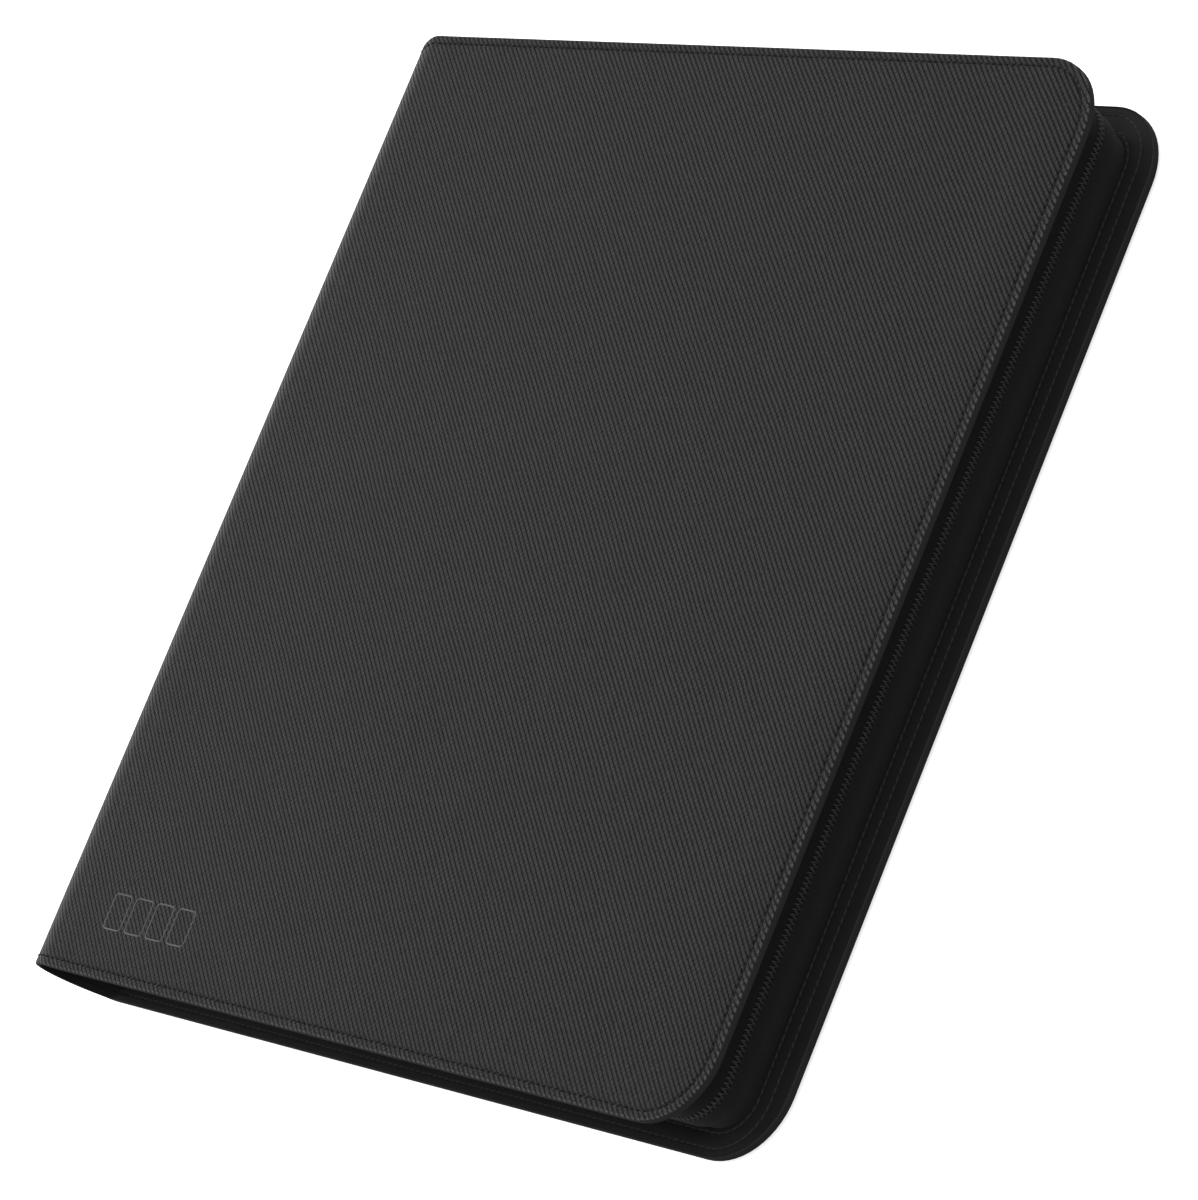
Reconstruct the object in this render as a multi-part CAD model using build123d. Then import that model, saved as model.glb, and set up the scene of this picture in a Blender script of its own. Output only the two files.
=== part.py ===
from build123d import *
import math
import os

# A zip-up trading card binder lying flat on its back cover. Millimetres, +Z up, +Y towards the head,
# +X from the spine towards the fore-edge. The origin is the middle of the footprint, at the rest surface.

# --- Overall sizes ---
overall_width = 346.0  # outermost line of the round spine to the fore-edge
overall_height = 355.0  # tail to head
overall_thickness = 36.0  # outside of the back cover to outside of the front cover

# --- Covers ---
cover_thickness = 3.0
corner_radius = 25.0  # the two fore-edge corners of each cover
skin_thickness = 0.8  # outer imitation leather, turned round the free edges
lining_thickness = 0.6
board_setback = 6.0  # the stiff board stops this far short of the spine
edge_round = 0.6  # outer arris of the skin

# --- Spine ---
spine_segments = 3
spine_skin_thickness = 1.0
spine_lining_thickness = 0.8
fold_gap = 0.3  # between neighbouring pieces at a fold line, along the outside

# --- Page binding and pages ---
page_count = 20
page_gap = 0.26  # between the faces of neighbouring pages when the binder is closed
page_cover_gap = 0.53  # between an outermost page and the lining next to it
core_thickness = 0.2
film_thickness = 0.15
page_fore_margin = 28.0  # page edge to fore-edge of the cover
page_end_margin = 27.5  # page edge to head and tail of the cover
pocket_width = 70.0
pocket_height = 96.0
weld_width = 3.0
slit_width = 0.8
film_fore_border = 3.0  # plain core outside the pockets at the fore-edge
binding_thickness = 1.0
binding_stem_thickness = 1.2
binding_end_gap = 0.4  # binding strip to the curved spine lining
binding_page_gap = 0.6  # binding strip to the hinge edge of a page

# --- Zipper ---
tape_thickness = 0.8
tape_foot_inset = 14.0  # fore-edge of the cover to the outside of the tape at the lining
tape_top_inset = 10.5  # fore-edge of the cover to the outside of the tape at the coil
zip_end_shift = 3.5  # the zip stands this much nearer to the head and tail than to the fore-edge
tape_lean_height = 8.5  # height of the leaning part above the lining
tape_flange_width = 6.0
tape_flange_thickness = 0.6
zip_end_setback = 4.0  # start of the tapes beyond the spine edge of the covers
coil_gap = 1.4  # between the two coil halves, where the slider's post passes
coil_height = 1.3
coil_width = 2.0
stop_length = 2.0
stop_height = 1.6
stop_width = 2.6

# --- Slider and pull tab ---
slider_length = 10.0
slider_clearance = 0.3
slider_plate = 1.2
slider_lip = 1.2
slider_post_length = 3.0
slider_round = 0.8
slider_park_gap = 1.6  # end stop to the parked slider
front_half_gap = 2.0  # parked slider to the start of the front coil
bail_length = 7.0
bail_width = 2.4
bail_wall = 0.9
pull_length = 26.0
pull_width = 7.0
pull_thickness = 1.2
pull_clearance = 0.3
pull_window_length = 4.2
pull_window_side_gap = 0.4
pull_hole_radius = 1.6

# --- Places worked out from those sizes ---
spine_radius = overall_thickness / 2
spine_outer_x = -overall_width / 2
spine_edge_x = spine_outer_x + spine_radius  # where the flat covers meet the round spine
fore_edge_x = overall_width / 2
mid_z = overall_thickness / 2
head_y = overall_height / 2
segment_angle = 180 / spine_segments
spine_inner_radius = spine_radius - spine_skin_thickness - spine_lining_thickness

page_room = overall_thickness - 2 * cover_thickness - 2 * page_cover_gap
page_pitch = (page_room + page_gap) / page_count
page_thickness = page_pitch - page_gap
pocket_depth = (page_thickness - core_thickness) / 2 - film_thickness
page_half_span = page_pitch * (page_count - 1) / 2

binding_half_height = page_half_span + core_thickness
binding_back_x = (
    spine_edge_x
    - math.sqrt(spine_inner_radius**2 - (binding_half_height + binding_end_gap) ** 2)
)
binding_front_x = binding_back_x + binding_thickness
page_hinge_x = binding_front_x + binding_page_gap
page_end_x = fore_edge_x - page_fore_margin
page_height = overall_height - 2 * page_end_margin

tape_foot_z = cover_thickness
tape_lean_z = tape_foot_z + tape_lean_height
coil_top_z = mid_z - coil_gap / 2
tape_top_z = coil_top_z - coil_height
coil_inset = tape_top_inset + tape_thickness / 2  # middle of the coil and of the tape's top edge
zip_start_x = spine_edge_x + zip_end_setback
coil_start_x = zip_start_x + stop_length
slider_x = coil_start_x + slider_park_gap + slider_length / 2
slider_y = head_y - coil_inset + zip_end_shift
front_start_x = slider_x + slider_length / 2 + front_half_gap
cavity_half_width = coil_width / 2 + slider_clearance
cavity_half_height = coil_gap / 2 + coil_height + slider_clearance
plate_top_y = slider_y + cavity_half_width + slider_plate
pull_hinge_y = plate_top_y + pull_clearance + pull_thickness / 2
through = 4 * overall_thickness  # long enough to cut right through


def save(node, shape):
    """Writes one named piece."""
    shape.label = node
    export_step(shape, f"parts/{node}.step")


def facing(shape):
    """The front cover's copy of a back cover piece, mirrored about the middle of the thickness."""
    return mirror(shape, about=Plane.XY.offset(mid_z))


def cover_plan(inset, end_shift=0.0):
    """Plan of a cover, drawn in from its free edges, less so at the head and tail by end_shift."""
    length = fore_edge_x - inset - spine_edge_x
    width = overall_height - 2 * (inset - end_shift)
    plan = Pos(spine_edge_x, 0) * Rectangle(length, width, align=(Align.MIN, Align.CENTER))
    return fillet(plan.vertices().group_by(Axis.X)[-1], corner_radius - inset)


def zip_plan(inset):
    """Plan inside the zip's line, drawn in from the fore-edge."""
    return cover_plan(inset, zip_end_shift)


def slab(plan, low_z, high_z):
    """A plan raised between two heights."""
    return Pos(0, 0, low_z) * extrude(plan, high_z - low_z)


def ahead_of(x):
    """Everything on the fore-edge side of x, for trimming."""
    return Pos(x, 0, 0) * Box(
        2 * overall_width, 2 * overall_height, through, align=(Align.MIN, Align.CENTER, Align.CENTER)
    )


def cover_skin():
    """Outer skin: a plate with its edge turned up round the board."""
    skin = slab(cover_plan(0), 0, cover_thickness)
    skin -= slab(cover_plan(skin_thickness), skin_thickness, cover_thickness)
    arris = skin.edges().group_by(Axis.Z)[0].filter_by(lambda e: e.center().X > spine_edge_x + edge_round)
    return fillet(arris, edge_round) & ahead_of(spine_edge_x + fold_gap / 2)


def cover_board():
    """Stiff board between the skin and the lining."""
    board = slab(cover_plan(skin_thickness), skin_thickness, cover_thickness - lining_thickness)
    return board & ahead_of(spine_edge_x + board_setback)


def cover_lining():
    """Smooth lining, let in level with the turned edge of the skin."""
    lining = slab(cover_plan(skin_thickness), cover_thickness - lining_thickness, cover_thickness)
    return lining & ahead_of(spine_edge_x + fold_gap / 2)


def zipper_tape(start_x):
    """Half of the zip wall: a flange on the lining, a leaning wall and an upright edge."""

    def wall_block(extra):
        foot = Pos(0, 0, tape_foot_z) * zip_plan(tape_foot_inset + extra)
        top = Pos(0, 0, tape_lean_z) * zip_plan(tape_top_inset + extra)
        return loft([foot, top], ruled=True) + slab(
            zip_plan(tape_top_inset + extra), tape_lean_z, tape_top_z
        )

    tape = wall_block(0) - wall_block(tape_thickness)
    flange_z = tape_foot_z + tape_flange_thickness
    flange = slab(zip_plan(tape_foot_inset + tape_thickness / 2), tape_foot_z, flange_z)
    flange -= slab(zip_plan(tape_foot_inset + tape_flange_width), tape_foot_z, flange_z)
    tape = (tape + flange) & ahead_of(zip_start_x)
    return tape - slider_bay(start_x, tape_lean_z)


def slider_bay(start_x, low_z):
    """Room round the parked slider at the head, up to the x where a coil half starts."""
    length = start_x - spine_edge_x
    return Pos(spine_edge_x, 0, low_z) * Box(
        length, head_y, overall_thickness, align=(Align.MIN, Align.MIN, Align.MIN)
    )


def zipper_coil(start_x):
    """Half of the closed coil, a plain bead along the tape's edge."""
    coil = slab(zip_plan(coil_inset - coil_width / 2), tape_top_z, coil_top_z)
    coil -= slab(zip_plan(coil_inset + coil_width / 2), tape_top_z, coil_top_z)
    coil &= ahead_of(coil_start_x)
    return coil - slider_bay(start_x, 0)


def zipper_stops():
    """Stops that end the back coil half at the head and at the tail."""
    stop = Pos(zip_start_x, 0, tape_top_z) * Box(
        stop_length, stop_width, stop_height, align=(Align.MIN, Align.CENTER, Align.MIN)
    )
    return Compound(children=[Pos(0, side * slider_y, 0) * stop for side in (-1, 1)])


def spine_shell(outer_radius, thickness, index):
    """One third of the round spine wall, trimmed at both ends for the fold lines."""
    trim = math.degrees(fold_gap / 2 / spine_radius)
    start = 270 - (index + 1) * segment_angle + trim
    sweep_angle = segment_angle - 2 * trim
    inner = CenterArc((0, 0), outer_radius - thickness, start, sweep_angle)
    outer = CenterArc((0, 0), outer_radius, start, sweep_angle)
    ends = [Line(inner @ 0, outer @ 0), Line(inner @ 1, outer @ 1)]
    section = make_face(Curve() + [inner, outer] + ends)
    wall = extrude(Plane.XZ * section, overall_height / 2, both=True)
    return Pos(spine_edge_x, 0, mid_z) * wall


def page_binding():
    """Strip that holds the pages' inner edges, on a stem from the middle of the spine."""
    strip = Pos(binding_back_x, 0, mid_z) * Box(
        binding_thickness, page_height, 2 * binding_half_height, align=(Align.MIN, Align.CENTER, Align.CENTER)
    )
    stem_half = binding_stem_thickness / 2
    stem_x = spine_edge_x - math.sqrt(spine_inner_radius**2 - stem_half**2)
    stem = Pos(stem_x, 0, mid_z) * Box(
        binding_back_x - stem_x, page_height, binding_stem_thickness,
        align=(Align.MIN, Align.CENTER, Align.CENTER),
    )
    return strip + stem


def page_core():
    """Middle sheet of a page, centred on z = 0."""
    return Pos(page_hinge_x, 0, 0) * Box(
        page_end_x - page_hinge_x, page_height, core_thickness,
        align=(Align.MIN, Align.CENTER, Align.CENTER),
    )


def pocket_films():
    """Clear film on both faces of a page, welded into a grid of side-loading pockets."""
    columns = int((page_end_x - page_hinge_x - film_fore_border) // pocket_width)
    rows = int(page_height // pocket_height)
    middle_x = page_end_x - film_fore_border - columns * pocket_width / 2
    depth = pocket_depth + film_thickness
    cell = Box(
        pocket_width - weld_width, pocket_height - weld_width, pocket_depth,
        align=(Align.CENTER, Align.CENTER, Align.MIN),
    )
    slit_x = -(pocket_width - weld_width - slit_width) / 2
    slit = Pos(slit_x, 0, 0) * Box(
        slit_width, pocket_height - weld_width, depth, align=(Align.CENTER, Align.CENTER, Align.MIN)
    )
    film = Box(
        columns * pocket_width, rows * pocket_height, depth, align=(Align.CENTER, Align.CENTER, Align.MIN)
    )
    film -= [place * (cell + slit) for place in GridLocations(pocket_width, pocket_height, columns, rows)]
    film = Pos(middle_x, 0, core_thickness / 2) * film
    return Compound(children=[film, mirror(film, about=Plane.XY)])


def slider_body():
    """Slider round the coil: two plates, four lips, a middle post and the bail for the pull."""
    outer_y = 2 * (cavity_half_width + slider_plate)
    outer_z = 2 * (cavity_half_height + slider_lip)
    body = Box(slider_length, outer_y, outer_z)
    body = fillet(body.edges().filter_by(Axis.Y), slider_round)
    body -= Box(slider_length, 2 * cavity_half_width, 2 * cavity_half_height)
    body -= Box(slider_length, tape_thickness + 2 * slider_clearance, outer_z)
    body += Box(slider_post_length, 2 * cavity_half_width, coil_gap - 2 * slider_clearance)
    body = Pos(slider_x, slider_y, mid_z) * body
    bail_rise = pull_thickness + 2 * pull_clearance
    bail = Box(
        bail_length, bail_rise + bail_wall, bail_width, align=(Align.CENTER, Align.MIN, Align.CENTER)
    )
    bail = fillet(bail.edges().filter_by(Axis.Z).group_by(Axis.Y)[-1], bail_wall)
    bail -= Box(
        bail_length - 2 * bail_wall, bail_rise, bail_width, align=(Align.CENTER, Align.MIN, Align.CENTER)
    )
    return body + Pos(slider_x, plate_top_y, mid_z) * bail


def pull_tab():
    """Pull tab lying towards the fore-edge, its end bar held under the bail."""
    window_width = bail_width + 2 * pull_window_side_gap
    tab = Box(pull_length, pull_thickness, pull_width, align=(Align.MIN, Align.CENTER, Align.CENTER))
    tab = fillet(tab.edges().filter_by(Axis.Y).group_by(Axis.X)[-1], pull_width / 2.5)
    tab -= Pos(pull_thickness / 2, 0, 0) * Box(
        pull_window_length, pull_thickness, window_width, align=(Align.MIN, Align.CENTER, Align.CENTER)
    )
    tab += Cylinder(pull_thickness / 2, pull_width)
    hole = Rot(90, 0, 0) * Cylinder(pull_hole_radius, pull_thickness)
    tab -= Pos(pull_length - pull_width / 2, 0, 0) * hole
    return Pos(slider_x, pull_hinge_y, mid_z) * tab


os.makedirs("parts", exist_ok=True)

save("back_cover_skin", cover_skin())
save("back_cover_board", cover_board())
save("back_cover_lining", cover_lining())
save("back_zipper_tape", zipper_tape(zip_start_x))
save("back_zipper_coil", zipper_coil(coil_start_x))
save("zipper_stops", zipper_stops())
save("front_cover_skin", facing(cover_skin()))
save("front_cover_board", facing(cover_board()))
save("front_cover_lining", facing(cover_lining()))
save("front_zipper_tape", facing(zipper_tape(front_start_x)))
save("front_zipper_coil", facing(zipper_coil(front_start_x)))
for index in range(spine_segments):
    save(f"spine_skin_{index + 1}", spine_shell(spine_radius, spine_skin_thickness, index))
    lining_radius = spine_radius - spine_skin_thickness
    save(f"spine_lining_{index + 1}", spine_shell(lining_radius, spine_lining_thickness, index))
save("page_binding", page_binding())
save("slider_body", slider_body())
save("pull_tab", pull_tab())

core = page_core()
films = pocket_films()
for index in range(page_count):
    page_z = mid_z - page_half_span + index * page_pitch
    save(f"page_core_{index + 1:02d}", Pos(0, 0, page_z) * core)
    save(f"pocket_film_{index + 1:02d}", Pos(0, 0, page_z) * films)
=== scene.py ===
import math

import bmesh
import bpy
import numpy as np
from mathutils import Matrix, Vector


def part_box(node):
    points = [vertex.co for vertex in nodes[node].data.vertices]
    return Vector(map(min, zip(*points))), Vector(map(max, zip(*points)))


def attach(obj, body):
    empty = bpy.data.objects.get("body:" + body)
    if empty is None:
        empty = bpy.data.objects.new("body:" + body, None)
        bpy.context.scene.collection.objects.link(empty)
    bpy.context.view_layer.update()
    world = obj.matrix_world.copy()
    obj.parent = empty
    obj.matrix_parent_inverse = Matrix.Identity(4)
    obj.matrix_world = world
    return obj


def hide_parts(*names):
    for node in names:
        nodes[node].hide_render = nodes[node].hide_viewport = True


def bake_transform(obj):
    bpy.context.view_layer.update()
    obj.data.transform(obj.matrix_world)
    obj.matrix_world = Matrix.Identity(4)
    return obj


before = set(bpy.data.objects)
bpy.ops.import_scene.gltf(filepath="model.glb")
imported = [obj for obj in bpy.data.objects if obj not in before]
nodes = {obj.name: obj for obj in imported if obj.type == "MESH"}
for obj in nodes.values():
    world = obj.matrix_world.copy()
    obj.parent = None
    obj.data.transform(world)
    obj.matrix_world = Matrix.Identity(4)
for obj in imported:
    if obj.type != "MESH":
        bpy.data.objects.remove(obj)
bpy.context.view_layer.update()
mm = 0.001
print("frame loaded,", len(nodes), "nodes")

# the binder's own sizes, in millimetres, most of them read from the frame
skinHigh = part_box("back_cover_skin")[1]
binder = {
    "foreX": skinHigh.x / mm,
    "headY": skinHigh.y / mm,
    "coverDepth": skinHigh.z / mm,
    "topZ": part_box("front_cover_skin")[1].z / mm,
    "spineX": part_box("spine_skin_2")[0].x / mm,
    "cornerRadius": 25.0,
    "tightestRadius": 4.0,  # what a corner keeps when its line is drawn far in
    "handover": 6.0,  # the flat cover pieces meet the bending spine strips this far from the spine
}
binder["spineRadius"] = binder["topZ"] / 2
binder["spineEdgeX"] = binder["spineX"] + binder["spineRadius"]
binder["stripX"] = binder["spineEdgeX"] + binder["handover"]
covers = (("back", False), ("front", True))  # the front cover is the back one turned over


def unit(v):
    # each vector divided by its own length
    return v / np.maximum(np.linalg.norm(v, axis=-1, keepdims=True), 1e-12)


def smooth(share):
    # 0 to 1 with level ends: three squares less two cubes
    return share * share * (3 - 2 * share)


def raisedCosine(t):
    # 1 at t = 0, falling to 0 at t = -1 and 1
    return 0.5 + 0.5 * math.cos(math.pi * t)


def flip(points, upper):
    # the front cover's copy of back cover points, mirrored about the middle of the thickness
    points = np.array(points, float)
    if upper:
        points[..., 2] = binder["topZ"] - points[..., 2]
    return points


def gridFaces(rows, cols, closeRows=False, closeCols=False, first=0):
    # one quad for each cell of a rows by cols grid of points
    lastRow = rows if closeRows else rows - 1
    lastCol = cols if closeCols else cols - 1
    r, c = np.meshgrid(np.arange(lastRow), np.arange(lastCol), indexing="ij")
    r2, c2 = (r + 1) % rows, (c + 1) % cols
    quads = np.stack([r * cols + c, r * cols + c2, r2 * cols + c2, r2 * cols + c], -1)
    return (quads.reshape(-1, 4) + first).tolist()


def addObject(name, data):
    # a new object in the scene
    piece = bpy.data.objects.new(name, data)
    bpy.context.scene.collection.objects.link(piece)
    return piece


def makePiece(name, points, faces, material, uv=None, turnOut=True, second=None, secondFaces=None):
    # points in millimetres; uv holds one pair for each point, also in millimetres; secondFaces is a mask
    # of the faces that take the second material
    sharpAngle = 38
    mesh = bpy.data.meshes.new(name)
    mesh.from_pydata((np.asarray(points, float).reshape(-1, 3) * mm).tolist(), [], faces)
    if uv is not None:
        layer = mesh.uv_layers.new(name="surfaceMap")
        corner = np.zeros(len(mesh.loops), np.int32)
        mesh.loops.foreach_get("vertex_index", corner)
        layer.data.foreach_set("uv", np.asarray(uv, float).reshape(-1, 2)[corner].astype(np.float32).ravel())
    if turnOut:
        work = bmesh.new()
        work.from_mesh(mesh)
        bmesh.ops.recalc_face_normals(work, faces=work.faces)
        work.to_mesh(mesh)
        work.free()
    mesh.shade_smooth()
    mesh.set_sharp_from_angle(angle=math.radians(sharpAngle))
    mesh.materials.append(material)
    if second is not None:
        mesh.materials.append(second)
        mesh.polygons.foreach_set("material_index", np.asarray(secondFaces, np.int32))
    return addObject(name, mesh)


def addAttribute(piece, name, values):
    # one number for each point, which the materials read by name
    layer = piece.data.attributes.new(name, "FLOAT", "POINT")
    layer.data.foreach_set("value", np.asarray(values, np.float32).ravel())


def tubes(centres, lean, radii, sides):
    # every row of centres becomes one capped tube: ring k stands square to the line and has radius radii[k]
    count, rings = centres.shape[:2]
    along = unit(np.gradient(centres, axis=1))
    side = unit(np.cross(along, np.broadcast_to(lean[:, None, :], along.shape)))
    up = np.cross(side, along)
    turn = 2 * np.pi * np.arange(sides) / sides
    spread = side[:, :, None] * np.cos(turn)[:, None] + up[:, :, None] * np.sin(turn)[:, None]
    points = centres[:, :, None] + spread * np.asarray(radii)[None, :, None, None]
    one = np.array(gridFaces(rings, sides, closeCols=True))
    size = rings * sides
    starts = np.arange(count) * size
    faces = (starts[:, None, None] + one[None]).reshape(-1, 4).tolist()
    nearEnds = starts[:, None] + np.arange(sides)
    farEnds = starts[:, None] + size - 1 - np.arange(sides)
    return points.reshape(-1, 3), faces + np.concatenate([nearEnds, farEnds]).tolist()


# the lines that run round the free edges of a cover, as (in from the fore-edge, in from head and tail)
seams = {"hem": (3.2, 3.1), "outer": (6.2, 3.1), "inner": (11.3, 8.0), "foot": (13.4, 10.0)}
edgeCounts = {"run": 36, "corner": 14, "fore": 40}


def edgeLine(foreInset, endInset, startX=None):
    # tail run, quarter circle, fore-edge run, quarter circle, head run, drawn in by the two insets
    startX = binder["stripX"] if startX is None else startX
    radius = max(binder["cornerRadius"] - foreInset, binder["tightestRadius"])
    cornerX = binder["foreX"] - foreInset - radius
    cornerY = binder["headY"] - endInset - radius
    runX = np.linspace(startX, cornerX, edgeCounts["run"], endpoint=False)
    turn = np.linspace(0, np.pi / 2, edgeCounts["corner"], endpoint=False)
    foreY = np.linspace(-cornerY, cornerY, edgeCounts["fore"], endpoint=False)
    sine, cosine = radius * np.sin(turn), radius * np.cos(turn)
    end = np.full_like(runX, cornerY + radius)
    fore = np.full_like(foreY, cornerX + radius)
    x = np.concatenate([runX, cornerX + sine, fore, cornerX + cosine, [cornerX], runX[::-1]])
    y = np.concatenate([-end, -cornerY - cosine, foreY, cornerY + sine, end[:1], end])
    return np.stack([x, y], -1)


def travelAlong(line):
    # distance from the start of a line to each of its points
    return np.concatenate([[0], np.cumsum(np.linalg.norm(np.diff(line, axis=0), axis=1))])


def evenly(line, pitch, span=0.2):
    # points at an even pitch along a line, and the direction of travel, taken over the span on both sides
    length = travelAlong(line)
    count = int(length[-1] // pitch)
    at = (np.arange(count) + 0.5) * length[-1] / count
    points, ahead, behind = (
        np.stack([np.interp(at + offset, length, line[:, i]) for i in range(line.shape[1])], -1)
        for offset in (0, span, -span)
    )
    return points, unit(ahead - behind)


# every noise below is a tuple of scale, detail and, where it isn't 0.5, roughness
def newGroup(name, inputs, outputs):
    # an empty node group: a vector and the named numbers go in, the named numbers come out
    group = bpy.data.node_groups.new(name, "ShaderNodeTree")
    group.interface.new_socket(name="Vector", in_out="INPUT", socket_type="NodeSocketVector")
    for way, labels in (("INPUT", inputs), ("OUTPUT", outputs)):
        for label in labels:
            group.interface.new_socket(name=label, in_out=way, socket_type="NodeSocketFloat")
    return group, group.nodes.new("NodeGroupInput"), group.nodes.new("NodeGroupOutput")


def splitXY(tree, vector):
    # the vector's first two numbers
    node = tree.nodes.new("ShaderNodeSeparateXYZ")
    tree.links.new(vector, node.inputs[0])
    return node.outputs[0], node.outputs[1]


def mathNode(tree, operation, *values):
    # one Math node, each value either a number or the socket that feeds it
    node = tree.nodes.new("ShaderNodeMath")
    node.operation = operation
    for socket, value in zip(node.inputs, values):
        if isinstance(value, (int, float)):
            socket.default_value = value
        else:
            tree.links.new(value, socket)
    return node.outputs[0]


def noiseNode(tree, vector, scale, detail, roughness=0.5):
    # fractal noise from 0 to 1
    node = tree.nodes.new("ShaderNodeTexNoise")
    node.inputs["Scale"].default_value = scale
    node.inputs["Detail"].default_value = detail
    node.inputs["Roughness"].default_value = roughness
    tree.links.new(vector, node.inputs["Vector"])
    return node.outputs["Fac"]


def centredNoise(tree, vector, noise):
    # noise brought to the middle, from -0.5 to 0.5
    return mathNode(tree, "SUBTRACT", noiseNode(tree, vector, *noise), 0.5)


def waveOf(tree, x, y, perX, perY, shift=None):
    # cosine wave with perX and perY cycles for each millimetre
    phase = mathNode(tree, "ADD", mathNode(tree, "MULTIPLY", x, perX), mathNode(tree, "MULTIPLY", y, perY))
    if shift is not None:
        phase = mathNode(tree, "ADD", phase, shift)
    return mathNode(tree, "COSINE", mathNode(tree, "MULTIPLY", phase, 2 * math.pi))


def rangeNode(tree, value, low, high, fromHigh=1.0):
    # a value from 0 to fromHigh carried over to low to high, and held there beyond
    node = tree.nodes.new("ShaderNodeMapRange")
    node.inputs["From Max"].default_value = fromHigh
    node.inputs["To Min"].default_value = low
    node.inputs["To Max"].default_value = high
    tree.links.new(value, node.inputs["Value"])
    return node.outputs[0]


twillShape = {
    "ribs": (0.413, 0.431),  # cycles in a millimetre along x and y
    "crossing": (0.413, -0.431),
    "grid": (0.825, 0.0),
    "gridShare": 0.14,
    "split": (0.826, 0.862),  # twice the ribs, which narrows their tops
    "splitShare": -0.3,
    "swayNoise": (0.03, 1.0), "sway": 0.7,
    "jitterNoise": (0.9, 2.0), "jitter": 0.42,
    "fineNoise": (1.8, 3.0, 0.65), "fineGain": 4.0,
    "patchNoise": (0.02, 2.0),
    "maskHigh": 1.1,  # the height at which a rib takes the full light colour, the painted highlight on the rib tops
}


def buildTwill():
    # Diagonal ribs with a weaker crossing wave, an upright one and a doubled one, all swaying with the same
    # noise, plus fine noise. Half the sum plus a half is the height.
    s = twillShape
    group, given, out = newGroup("twillEmboss", ["Cross", "Unevenness"], ["Height", "Ribs", "Patches"])
    vector = given.outputs["Vector"]
    x, y = splitXY(group, vector)
    sway = mathNode(group, "MULTIPLY", centredNoise(group, vector, s["swayNoise"]), s["sway"])
    jitter = mathNode(group, "MULTIPLY", centredNoise(group, vector, s["jitterNoise"]), s["jitter"])
    shift = mathNode(group, "ADD", sway, jitter)
    gain = mathNode(group, "MULTIPLY", given.outputs["Unevenness"], s["fineGain"])
    parts = [
        (waveOf(group, x, y, *s["crossing"], shift), given.outputs["Cross"]),
        (waveOf(group, x, y, *s["grid"], shift), s["gridShare"]),
        (waveOf(group, x, y, *s["split"], shift), s["splitShare"]),
        (centredNoise(group, vector, s["fineNoise"]), gain),
    ]
    total = waveOf(group, x, y, *s["ribs"], shift)
    for part, share in parts:
        total = mathNode(group, "MULTIPLY_ADD", part, share, total)
    height = mathNode(group, "MULTIPLY_ADD", total, 0.5, 0.5)
    group.links.new(height, out.inputs["Height"])
    group.links.new(rangeNode(group, height, 0.0, 1.0, s["maskHigh"]), out.inputs["Ribs"])
    group.links.new(noiseNode(group, vector, *s["patchNoise"]), out.inputs["Patches"])
    return group


def buildWeave():
    # two crossing sets of threads, each thread a rounded ridge that ducks under every other one
    fibreNoise = (5.0, 3.0, 0.7)
    group, given, out = newGroup("plainWeave", ["Threads"], ["Height", "Fibre"])
    x, y = (
        mathNode(group, "MULTIPLY", side, given.outputs["Threads"])
        for side in splitXY(group, given.outputs["Vector"])
    )
    warp = mathNode(group, "MULTIPLY", waveOf(group, x, y, 1.0, 0.0), waveOf(group, x, y, 0.0, 0.5))
    weft = mathNode(group, "MULTIPLY", waveOf(group, x, y, 0.5, 0.0), waveOf(group, x, y, 0.0, 1.0))
    height = mathNode(group, "MAXIMUM", warp, weft)
    group.links.new(mathNode(group, "MULTIPLY_ADD", height, 0.5, 0.5), out.inputs["Height"])
    group.links.new(noiseNode(group, given.outputs["Vector"], *fibreNoise), out.inputs["Fibre"])
    return group


def buildGrain():
    # soft leathery pebbling: fine noise less a share of the distance to the middle of the nearest cell
    fineNoise, mottleNoise, cellShare = (3.5, 3.0, 0.6), (0.05, 3.0), -0.6
    group, given, out = newGroup("softGrain", ["Cells"], ["Height", "Mottle"])
    vector = given.outputs["Vector"]
    cells = group.nodes.new("ShaderNodeTexVoronoi")
    cells.feature = "SMOOTH_F1"
    group.links.new(vector, cells.inputs["Vector"])
    group.links.new(given.outputs["Cells"], cells.inputs["Scale"])
    fine = noiseNode(group, vector, *fineNoise)
    height = mathNode(group, "MULTIPLY_ADD", cells.outputs["Distance"], cellShare, fine)
    group.links.new(height, out.inputs["Height"])
    group.links.new(noiseNode(group, vector, *mottleNoise), out.inputs["Mottle"])
    return group


twillGroup, weaveGroup, grainGroup = buildTwill(), buildWeave(), buildGrain()


def newMaterial(name, settings):
    # a plain shader with the given values on its own sockets
    material = bpy.data.materials.new(name)
    material.use_nodes = True
    shader = material.node_tree.nodes["Principled BSDF"]
    for label, value in settings.items():
        shader.inputs[label].default_value = value
    return material, material.node_tree, shader


def surfaceVector(tree, useMap):
    # the piece's own map, in millimetres, or object coordinates brought to millimetres
    if useMap:
        node = tree.nodes.new("ShaderNodeUVMap")
        node.uv_map = "surfaceMap"
        return node.outputs[0]
    node = tree.nodes.new("ShaderNodeTexCoord")
    scale = tree.nodes.new("ShaderNodeMapping")
    scale.inputs["Scale"].default_value = (1 / mm, 1 / mm, 1 / mm)
    tree.links.new(node.outputs["Object"], scale.inputs["Vector"])
    return scale.outputs[0]


def placeGroup(tree, group, vector, values):
    # a shader group with this material's own values
    node = tree.nodes.new("ShaderNodeGroup")
    node.node_tree = group
    tree.links.new(vector, node.inputs["Vector"])
    for label, value in values.items():
        node.inputs[label].default_value = value
    return node.outputs


def attributeNode(tree, name):
    # the number that a piece's points carry under this name
    node = tree.nodes.new("ShaderNodeAttribute")
    node.attribute_name = name
    return node.outputs["Fac"]


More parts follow.
